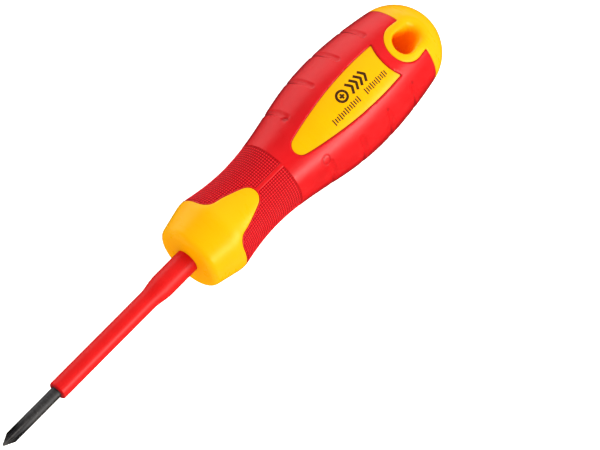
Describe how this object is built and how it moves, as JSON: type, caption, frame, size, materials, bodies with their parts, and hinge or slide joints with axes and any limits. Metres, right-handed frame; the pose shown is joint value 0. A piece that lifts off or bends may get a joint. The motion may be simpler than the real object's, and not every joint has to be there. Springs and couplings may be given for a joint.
{
  "type": "insulated screwdriver",
  "caption": "Insulated screwdriver: small cross tip on a sleeved blade, rounded yellow core with a red grip, textured waist and a hanging eye in the butt.",
  "frame": {"origin": "point of the cross tip, on the blade's axis", "axes": "+X along the tool from the tip to the butt, +Z out of the front window of the handle, +Y towards one flank"},
  "size_m": [0.1405, 0.0252, 0.0244],
  "materials": {
    "black_steel": "black phosphate, dull satin",
    "red_insulation": "smooth moulded insulation, satin gloss",
    "yellow_core": "smooth hard plastic, satin gloss",
    "red_grip": "soft moulded grip, satin; fine raised texture at the waist"
  },
  "bodies": {
    "root": {"blade": "black_steel", "blade_sleeve": "red_insulation", "handle_core": "yellow_core", "grip_overmould": "red_grip"}
  },
  "joints": []
}
